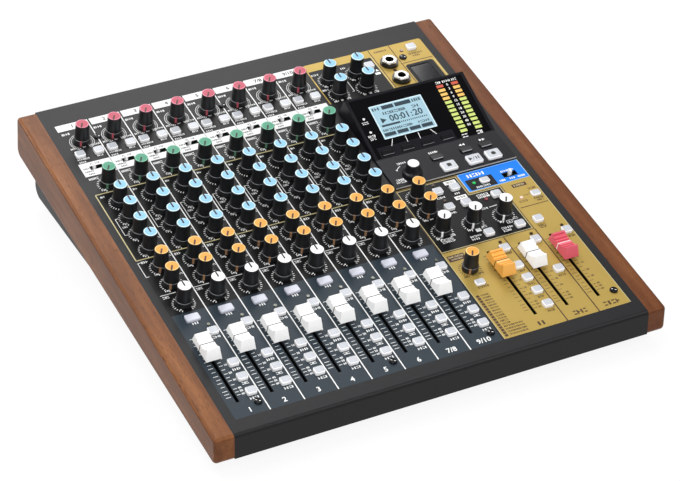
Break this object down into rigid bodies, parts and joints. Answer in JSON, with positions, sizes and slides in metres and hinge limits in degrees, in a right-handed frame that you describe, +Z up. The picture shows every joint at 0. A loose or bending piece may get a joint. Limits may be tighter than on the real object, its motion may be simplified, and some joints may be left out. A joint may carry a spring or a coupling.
{
  "type": "recording mixer",
  "caption": "Desktop recording mixer: sloping panel of knobs, faders and keys, a tilted display with level meters, wooden sides and a rear row of sockets.",
  "frame": {"origin": "middle of the object's box, on the table plane under the feet", "axes": "+X to the user's right, +Y to the rear, +Z up"},
  "size_m": [0.3458, 0.3624, 0.0966],
  "materials": {
    "panel_paint": "fine matt texture with printed fields",
    "case_black": "satin black powder coat",
    "walnut": "satin lacquer, straight grain",
    "foot_rubber": "matt",
    "knob_plastic": "fine satin with coloured caps",
    "key_plastic": "light grey satin",
    "fader_plastic": "white satin",
    "orange_plastic": "satin",
    "red_plastic": "satin",
    "dark_plastic": "fine texture",
    "window_gloss": "polished smoked black",
    "lcd_glass": "backlit pale blue",
    "lamp_plastic": "clear tinted",
    "circuit_board": "green solder mask",
    "zinc_steel": "zinc plated",
    "nickel": "nickel plated",
    "black_screw": "black oxide"
  },
  "bodies": {
    "console": {"top_panel": "panel_paint", "rear_panel": "case_black", "control_board": "circuit_board", "input_board": "circuit_board", "potentiometers": "zinc_steel", "fader_tracks": "zinc_steel", "panel_switches": "dark_plastic", "indicator_lamps": "lamp_plastic", "display_housing": "dark_plastic", "display_window": "window_gloss", "lcd_module": "lcd_glass", "meter_lamps": "lamp_plastic", "card_socket": "dark_plastic", "xlr_sockets": "dark_plastic", "jack_sockets": "dark_plastic", "jack_nuts": "nickel", "rear_ports": "dark_plastic", "channel_knobs": "knob_plastic", "master_knobs": "knob_plastic", "bottom_pan": "case_black", "left_side_panel": "walnut", "right_side_panel": "walnut", "feet": "foot_rubber", "main_board": "circuit_board", "screws": "black_screw"},
    "gain_knob_1": {"gain_knob_1": "knob_plastic"},
    "comp_knob_1": {"comp_knob_1": "knob_plastic"},
    "eq_high_knob_1": {"eq_high_knob_1": "knob_plastic"},
    "eq_mid_gain_knob_1": {"eq_mid_gain_knob_1": "knob_plastic"},
    "eq_mid_freq_knob_1": {"eq_mid_freq_knob_1": "knob_plastic"},
    "eq_low_knob_1": {"eq_low_knob_1": "knob_plastic"},
    "send_1_knob_1": {"send_1_knob_1": "knob_plastic"},
    "send_2_knob_1": {"send_2_knob_1": "knob_plastic"},
    "pan_knob_1": {"pan_knob_1": "knob_plastic"},
    "jog_dial": {"jog_dial": "dark_plastic"},
    "fader_1": {"fader_1": "fader_plastic"},
    "fader_2": {"fader_2": "fader_plastic"},
    "fader_3": {"fader_3": "fader_plastic"},
    "fader_4": {"fader_4": "fader_plastic"},
    "fader_5": {"fader_5": "fader_plastic"},
    "fader_6": {"fader_6": "fader_plastic"},
    "fader_7": {"fader_7": "fader_plastic"},
    "fader_8": {"fader_8": "fader_plastic"},
    "effect_fader": {"effect_fader": "orange_plastic"},
    "sub_fader": {"sub_fader": "fader_plastic"},
    "main_fader": {"main_fader": "red_plastic"},
    "input_buttons": {"input_buttons": "key_plastic"},
    "record_buttons": {"record_buttons": "key_plastic"},
    "mute_buttons": {"mute_buttons": "key_plastic"},
    "assign_buttons": {"assign_buttons": "key_plastic"},
    "master_buttons": {"master_buttons": "key_plastic"},
    "menu_keys": {"menu_keys": "key_plastic"},
    "stop_key": {"stop_key": "key_plastic"},
    "play_key": {"play_key": "key_plastic"},
    "record_key": {"record_key": "key_plastic"},
    "function_keys": {"function_keys": "key_plastic"},
    "mode_switches": {"mode_switches": "dark_plastic"},
    "link_switch": {"link_switch": "dark_plastic"},
    "power_switch": {"power_switch": "dark_plastic"},
    "card_cover": {"card_cover": "dark_plastic"}
  },
  "joints": [
    {"name": "gain_turn", "type": "hinge", "parent": "console", "child": "gain_knob_1", "pos_m": [-0.13875, 0.12771, 0.07882], "axis": [0, 0.1513, -0.9885], "range_deg": [0, 300]},
    {"name": "comp_turn", "type": "hinge", "parent": "console", "child": "comp_knob_1", "pos_m": [-0.13875, 0.07769, 0.07116], "axis": [0, 0.1513, -0.9885], "range_deg": [0, 300]},
    {"name": "eq_high_turn", "type": "hinge", "parent": "console", "child": "eq_high_knob_1", "pos_m": [-0.13875, 0.05634, 0.0679], "axis": [0, 0.1513, -0.9885], "range_deg": [-150, 150]},
    {"name": "eq_mid_gain_turn", "type": "hinge", "parent": "console", "child": "eq_mid_gain_knob_1", "pos_m": [-0.13875, 0.03858, 0.06518], "axis": [0, 0.1513, -0.9885], "range_deg": [-150, 150]},
    {"name": "eq_mid_freq_turn", "type": "hinge", "parent": "console", "child": "eq_mid_freq_knob_1", "pos_m": [-0.13875, 0.02082, 0.06246], "axis": [0, 0.1513, -0.9885], "range_deg": [-150, 150]},
    {"name": "eq_low_turn", "type": "hinge", "parent": "console", "child": "eq_low_knob_1", "pos_m": [-0.13875, 0.00305, 0.05974], "axis": [0, 0.1513, -0.9885], "range_deg": [-150, 150]},
    {"name": "send_1_turn", "type": "hinge", "parent": "console", "child": "send_1_knob_1", "pos_m": [-0.13875, -0.01652, 0.05675], "axis": [0, 0.1513, -0.9885], "range_deg": [0, 300]},
    {"name": "send_2_turn", "type": "hinge", "parent": "console", "child": "send_2_knob_1", "pos_m": [-0.13875, -0.03441, 0.05401], "axis": [0, 0.1513, -0.9885], "range_deg": [0, 300]},
    {"name": "pan_turn", "type": "hinge", "parent": "console", "child": "pan_knob_1", "pos_m": [-0.13875, -0.05547, 0.05079], "axis": [0, 0.1513, -0.9885], "range_deg": [-150, 150]},
    {"name": "jog_dial_turn", "type": "hinge", "parent": "console", "child": "jog_dial", "pos_m": [0.071, 0.0076, 0.06044], "axis": [0, 0.1513, -0.9885], "continuous": true},
    {"name": "fader_1_slide", "type": "slide", "parent": "console", "child": "fader_1", "axis": [0, 0.9885, 0.1513], "range_m": [-0.04595, 0.01405]},
    {"name": "fader_2_slide", "type": "slide", "parent": "console", "child": "fader_2", "axis": [0, 0.9885, 0.1513], "range_m": [-0.04595, 0.01405]},
    {"name": "fader_3_slide", "type": "slide", "parent": "console", "child": "fader_3", "axis": [0, 0.9885, 0.1513], "range_m": [-0.04595, 0.01405]},
    {"name": "fader_4_slide", "type": "slide", "parent": "console", "child": "fader_4", "axis": [0, 0.9885, 0.1513], "range_m": [-0.04595, 0.01405]},
    {"name": "fader_5_slide", "type": "slide", "parent": "console", "child": "fader_5", "axis": [0, 0.9885, 0.1513], "range_m": [-0.04595, 0.01405]},
    {"name": "fader_6_slide", "type": "slide", "parent": "console", "child": "fader_6", "axis": [0, 0.9885, 0.1513], "range_m": [-0.04595, 0.01405]},
    {"name": "fader_7_slide", "type": "slide", "parent": "console", "child": "fader_7", "axis": [0, 0.9885, 0.1513], "range_m": [-0.04595, 0.01405]},
    {"name": "fader_8_slide", "type": "slide", "parent": "console", "child": "fader_8", "axis": [0, 0.9885, 0.1513], "range_m": [-0.04595, 0.01405]},
    {"name": "effect_fader_slide", "type": "slide", "parent": "console", "child": "effect_fader", "axis": [0, 0.9885, 0.1513], "range_m": [-0.04595, 0.01405]},
    {"name": "sub_fader_slide", "type": "slide", "parent": "console", "child": "sub_fader", "axis": [0, 0.9885, 0.1513], "range_m": [-0.04595, 0.01405]},
    {"name": "main_fader_slide", "type": "slide", "parent": "console", "child": "main_fader", "axis": [0, 0.9885, 0.1513], "range_m": [-0.04595, 0.01405]},
    {"name": "input_buttons_press", "type": "slide", "parent": "console", "child": "input_buttons", "axis": [0, 0.1513, -0.9885], "range_m": [0, 0.0012], "stiffness_N_per_m": 666.7, "springref_m": -0.0006},
    {"name": "record_buttons_press", "type": "slide", "parent": "console", "child": "record_buttons", "axis": [0, 0.1513, -0.9885], "range_m": [0, 0.0012], "stiffness_N_per_m": 666.7, "springref_m": -0.0006},
    {"name": "mute_buttons_press", "type": "slide", "parent": "console", "child": "mute_buttons", "axis": [0, 0.1513, -0.9885], "range_m": [0, 0.0012], "stiffness_N_per_m": 666.7, "springref_m": -0.0006},
    {"name": "assign_buttons_press", "type": "slide", "parent": "console", "child": "assign_buttons", "axis": [0, 0.1513, -0.9885], "range_m": [0, 0.0012], "stiffness_N_per_m": 666.7, "springref_m": -0.0006},
    {"name": "master_buttons_press", "type": "slide", "parent": "console", "child": "master_buttons", "axis": [0, 0.1513, -0.9885], "range_m": [0, 0.0012], "stiffness_N_per_m": 666.7, "springref_m": -0.0006},
    {"name": "menu_keys_press", "type": "slide", "parent": "console", "child": "menu_keys", "axis": [0, 0.1513, -0.9885], "range_m": [0, 0.0012], "stiffness_N_per_m": 666.7, "springref_m": -0.0006},
    {"name": "stop_key_press", "type": "slide", "parent": "console", "child": "stop_key", "axis": [0, 0.1513, -0.9885], "range_m": [0, 0.0012], "stiffness_N_per_m": 666.7, "springref_m": -0.0006},
    {"name": "play_key_press", "type": "slide", "parent": "console", "child": "play_key", "axis": [0, 0.1513, -0.9885], "range_m": [0, 0.0012], "stiffness_N_per_m": 666.7, "springref_m": -0.0006},
    {"name": "record_key_press", "type": "slide", "parent": "console", "child": "record_key", "axis": [0, 0.1513, -0.9885], "range_m": [0, 0.0012], "stiffness_N_per_m": 666.7, "springref_m": -0.0006},
    {"name": "function_keys_press", "type": "slide", "parent": "console", "child": "function_keys", "axis": [0, 0.4099, -0.9121], "range_m": [0, 0.0005], "stiffness_N_per_m": 1600, "springref_m": -0.00025},
    {"name": "mode_switches_slide", "type": "slide", "parent": "console", "child": "mode_switches", "axis": [1, 0, 0], "range_m": [-0.00165, 0.00545]},
    {"name": "link_switch_slide", "type": "slide", "parent": "console", "child": "link_switch", "axis": [1, 0, 0], "range_m": [-0.00455, 0.00455]},
    {"name": "power_switch_rock", "type": "hinge", "parent": "console", "child": "power_switch", "pos_m": [0.142, 0.17531, 0.05272], "axis": [-1, 0, 0], "range_deg": [0, 12]},
    {"name": "card_cover_hinge", "type": "hinge", "parent": "console", "child": "card_cover", "pos_m": [0.137, 0.12017, 0.07665], "axis": [-1, 0, 0], "range_deg": [0, 105]}
  ]
}
